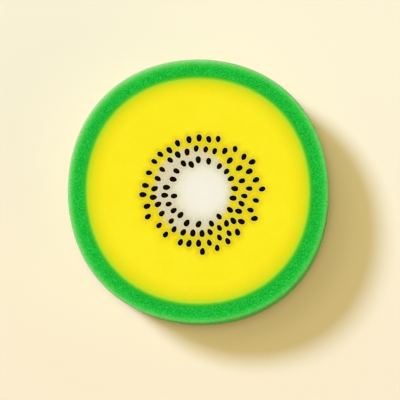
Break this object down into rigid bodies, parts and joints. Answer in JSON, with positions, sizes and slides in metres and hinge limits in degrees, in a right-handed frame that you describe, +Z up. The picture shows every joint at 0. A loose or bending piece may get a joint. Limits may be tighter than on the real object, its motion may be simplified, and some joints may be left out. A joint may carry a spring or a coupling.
{
  "type": "bath sponge",
  "caption": "Round foam bath sponge cut and coloured like a kiwi slice: green rind ring, yellow disc with small black seeds, white core plug.",
  "frame": {"origin": "the middle of the underside, where the sponge rests", "axes": "+Z up through the thickness, towards the face with the seeds; +X to the right and +Y to the top of the face as it is seen in the picture, with the white core a little towards +X"},
  "size_m": [0.118, 0.1196, 0.0304],
  "materials": {
    "green_foam": "soft open-cell foam, dull, fine pores",
    "yellow_foam": "soft open-cell foam, dull, fine pores",
    "white_foam": "soft open-cell foam, dull, very fine pores",
    "black_seed": "smooth soft rubber, slight sheen",
    "clear_glue": "dried clear adhesive tinted by the foams beside it"
  },
  "bodies": {
    "root": {"rind_ring": "green_foam", "flesh_face": "yellow_foam", "flesh_base": "yellow_foam", "seed_sheet": "black_seed", "core_plug": "white_foam", "rind_glue_band": "clear_glue", "core_glue_band": "clear_glue", "face_glue_film": "clear_glue"}
  },
  "joints": []
}
